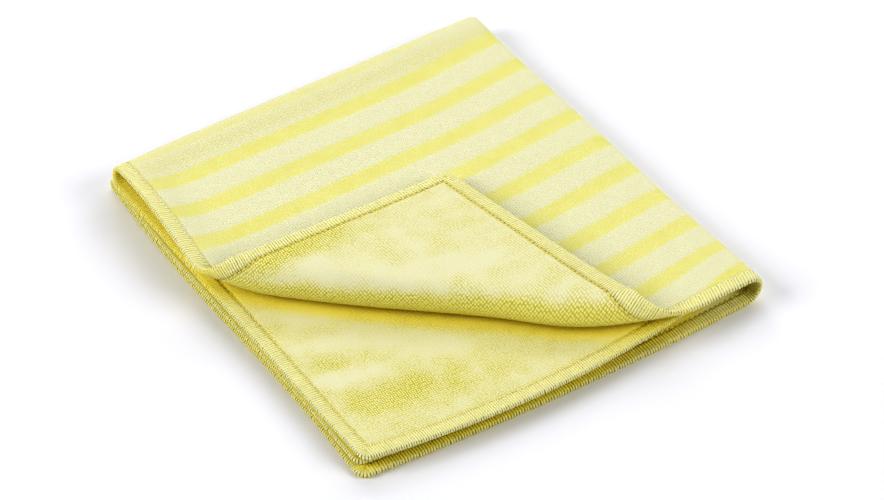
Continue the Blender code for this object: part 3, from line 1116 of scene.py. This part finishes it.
@dataclass
class Overlock:
    """The overlock seam round the hem: looper threads over the edge, and a needle line.

    One stitch of each thread is modelled at the start of a straight seam, with x along the
    seam, y in from the edge and z up on the striped face. It is repeated along the seam, and
    the seam is then bent round the hem's edge and folded with the cloth.
    """

    fold: Fold = Fold()
    leg_pitch: float = 1.2
    legs_per_stitch: int = 2
    thread_width: float = 0.95
    thread_height: float = 0.4
    thread_sides: int = 6
    thread_stand: float = 0.04
    leg_steps: int = 3
    turn_steps: int = 4
    turn_centre: float = 0.3
    scallop_inset: float = 0.2
    scallop_share: float = 0.7
    needle_line: float = 5
    needle_inset: float = 0.35
    needle_width: float = 0.5
    needle_height: float = 0.36
    needle_share: float = 0.78
    needle_sides: int = 8
    needle_rings: int = 6
    slant: float = 0.25
    wander: float = 0.05
    wander_share: Point = (1, 1, 0.3)

    def height(self) -> float:
        """Height of the looper threads' middle over the cloth's middle surface."""
        return self.fold.cloth.hem_thickness / 2 + self.thread_stand

    def thread_end(self, name: str, place: Point, width: float) -> Piece:
        """A thread's flattened end face, ready to be drawn out in edit mode.

        Args:
            name: Name of the new piece.
            place: Middle of the end face, which looks along y.
            width: Width of the thread along the seam.

        Returns:
            The piece, in edit mode with its face selected.
        """
        deselect_all()
        bpy.ops.mesh.primitive_circle_add(
            vertices=self.thread_sides, radius=0.5, fill_type="NGON", location=place,
            rotation=(math.pi / 2, 0, 0),
        )
        thread = name_new(name)
        thread.scale = (width, self.thread_height, 1)
        bpy.ops.object.transform_apply()
        bpy.ops.object.mode_set(mode="EDIT")
        bpy.ops.mesh.select_all(action="SELECT")
        return thread

    def leg(self) -> Piece:
        """Draw one leg of looper thread from the needle line over the edge and back.

        Returns:
            The leg.
        """
        start = (0, self.needle_line, -self.height())
        thread = self.thread_end("overlock_legs", start, self.thread_width)
        draw = (self.needle_line - self.turn_centre) / self.leg_steps
        for _ in range(self.leg_steps):
            bpy.ops.mesh.extrude_region_move(TRANSFORM_OT_translate={"value": (0, -draw, 0)})
        bpy.ops.mesh.spin(
            steps=self.turn_steps, angle=math.pi, center=(0, self.turn_centre, 0), axis=(1, 0, 0)
        )
        for _ in range(self.leg_steps):
            bpy.ops.mesh.extrude_region_move(TRANSFORM_OT_translate={"value": (0, draw, 0)})
        bpy.ops.object.mode_set(mode="OBJECT")
        return thread

    def scallop(self) -> Piece:
        """Bend looper thread at the needle line, from one leg to the next.

        Returns:
            The bend.
        """
        start = Vector((0, self.needle_line - self.scallop_inset, self.height()))
        thread = self.thread_end("overlock_scallops", start, self.thread_width * self.scallop_share)
        centre = start + Vector((self.leg_pitch / 2, 0, 0))
        bpy.ops.mesh.spin(steps=self.turn_steps, angle=-math.pi, center=centre, axis=(0, 0, 1))
        bpy.ops.object.mode_set(mode="OBJECT")
        return thread

    def needle_stitch(self) -> Piece:
        """Shape one stitch of the needle thread on the plain face.

        Returns:
            The stitch.
        """
        deselect_all()
        length = self.leg_pitch * self.legs_per_stitch * self.needle_share
        bpy.ops.mesh.primitive_uv_sphere_add(
            segments=self.needle_sides, ring_count=self.needle_rings, radius=0.5,
            rotation=(0, math.pi / 2, 0),
            location=(length / 2, self.needle_line + self.needle_inset, -self.height()),
        )
        stitch = name_new("needle_line")
        stitch.scale = (self.needle_height, self.needle_width, length)
        bpy.ops.object.transform_apply()
        return stitch

    def run_round_hem(self, thread: Piece, count: int, pitch: float) -> None:
        """Repeat a stitch along the seam and carry the seam round the folded hem.

        Args:
            thread: The stitch, modelled at the seam's start.
            count: How many go round the hem.
            pitch: Distance from one to the next before they are evened out.
        """
        one = len(thread.data.vertices)
        apply_modifier(
            thread, "ARRAY", count=count, use_relative_offset=False, use_constant_offset=True,
            constant_offset_displace=(pitch, 0, 0),
        )
        points = read_points(thread.data)
        strays = np.random.default_rng(SEED).normal(0, self.wander, (count, 3))
        points = points + strays[np.arange(len(points)) // one] * np.array(self.wander_share)
        run, inward, lift = points.T
        lean = self.slant * np.clip(inward, 0, None) * (lift > 0)
        run = (run + lean) * self.fold.cloth.perimeter() / (count * pitch)
        along, across = self.fold.cloth.beside_edge(run, inward)
        # Painted light: the threads in the mouth, the nose and by the roll turn bright gold too.
        write_attribute(thread, PAINTED_LIGHT_THROUGH, self.fold.painted_light_through(along, across, lift))
        write_points(thread.data, self.fold.place(along, across, lift))
        thread.data.shade_smooth()

    def build(self) -> list[Piece]:
        """Model the seam's threads.

        Returns:
            The looper legs, their bends and the needle line.
        """
        stitches = round(self.fold.cloth.perimeter() / (self.leg_pitch * self.legs_per_stitch))
        threads = [self.leg(), self.scallop(), self.needle_stitch()]
        for thread, legs in zip(threads, (1, self.legs_per_stitch, self.legs_per_stitch)):
            self.run_round_hem(thread, stitches * self.legs_per_stitch // legs, self.leg_pitch * legs)
        return threads

    @staticmethod
    def dress(pieces: list[Piece]) -> None:
        """Give the looper threads and the needle thread their finishes.

        Args:
            pieces: The looper legs, their bends and the needle line.
        """
        looper = SewingThread(name="textured_polyester_looper_thread").make()
        needle = SewingThread(name="spun_polyester_needle_thread", light="#F4F0A4", dark="#E8DF76").make()
        for piece, finish in zip(pieces, (looper, looper, needle)):
            piece.data.materials.append(finish)


@dataclass(frozen=True)
class SoftBox:
    """A soft studio light that looks at the cloth: where it stands, its size and its power."""

    name: str
    place: Point
    size: float
    power: float

    def build(self) -> None:
        """Stand the light in the scene."""
        deselect_all()
        turn = (-Vector(self.place)).to_track_quat("-Z", "Y").to_euler()
        bpy.ops.object.light_add(type="AREA", location=self.place, rotation=turn)
        light = name_new(self.name)
        light.data.size = self.size
        light.data.energy = self.power


@dataclass(frozen=True)
class Studio:
    """The pale floor, the light and the camera at the photograph's angle."""

    floor_size: float = 6
    floor_drop: float = 0.2 * MM
    azimuth: float = -32.7
    elevation: float = 42.9
    distance: float = 1.320
    target: Point = (-3.36 * MM, 0.78 * MM, 0)
    focal_pixels: float = 3338
    shift_pixels: tuple[float, float] = (23.2, -4.03)
    sensor: float = 36
    boxes: tuple[SoftBox, ...] = (
        SoftBox("key_light", (0.6, 0.8, 1.35), 1.3, 6),
        SoftBox("back_light", (0.3, 1.5, 0.8), 1, 5),
        SoftBox("left_light", (-1.5, 0.4, 1), 1, 19),
        SoftBox("front_light", (0.9, -1.2, 1), 1, 14.5),
        SoftBox("right_light", (1.5, 0.6, 0.8), 1, 5.5),
    )
    sky: float = 0.02
    sky_colour: tuple[float, ...] = (0.95, 0.95, 1.1, 1)

    def floor(self) -> None:
        """Lay a plain pale floor just under the cloth."""
        deselect_all()
        bpy.ops.mesh.primitive_plane_add(size=self.floor_size, location=(0, 0, -self.floor_drop))
        floor = name_new("floor")
        bpy.ops.object.transform_apply()
        floor.data.materials.append(PaperSweep().make())

    def camera(self) -> None:
        """Stand the camera at the photograph's angle and framing."""
        turn = Euler((math.radians(90 - self.elevation), 0, math.radians(self.azimuth)))
        place = Vector(self.target) + turn.to_matrix().col[2] * self.distance
        deselect_all()
        bpy.ops.object.camera_add(location=place, rotation=turn)
        camera = name_new("camera")
        camera.data.sensor_width = self.sensor
        camera.data.lens = self.focal_pixels / IMAGE_WIDTH * self.sensor
        camera.data.shift_x = self.shift_pixels[0] / IMAGE_WIDTH
        camera.data.shift_y = self.shift_pixels[1] / IMAGE_WIDTH
        bpy.context.scene.camera = camera

    def build(self) -> None:
        """Set up the floor, the lights, the sky and the camera."""
        self.floor()
        for box in self.boxes:
            box.build()
        scene = bpy.context.scene
        scene.world = bpy.data.worlds.new("studio")
        scene.world.use_nodes = True
        sky = scene.world.node_tree.nodes["Background"]
        sky.inputs["Color"].default_value = self.sky_colour
        sky.inputs["Strength"].default_value = self.sky
        scene.view_settings.view_transform = "Standard"
        scene.view_settings.look = "High Contrast"
        self.camera()


def report(piece: Piece) -> None:
    """Log a finished piece with its triangles."""
    triangles = sum(len(face.vertices) - 2 for face in piece.data.polygons)
    LOG.info("%s: %d triangles", piece.name, triangles)


def main() -> None:
    """Build the cloth, its seam and the studio."""
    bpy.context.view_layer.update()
    fold = Fold()

    sheet_maker = ClothSheet(fold=fold)
    sheet = sheet_maker.build()
    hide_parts("cloth")
    report(sheet)

    seam_maker = Overlock(fold=fold)
    seam = seam_maker.build()
    seam_maker.dress(seam)
    for thread in seam:
        report(thread)

    for piece in (sheet, *seam):
        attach(piece, "root")

    Studio().build()


if __name__ == "__main__":
    logging.basicConfig(level=logging.INFO)
    main()
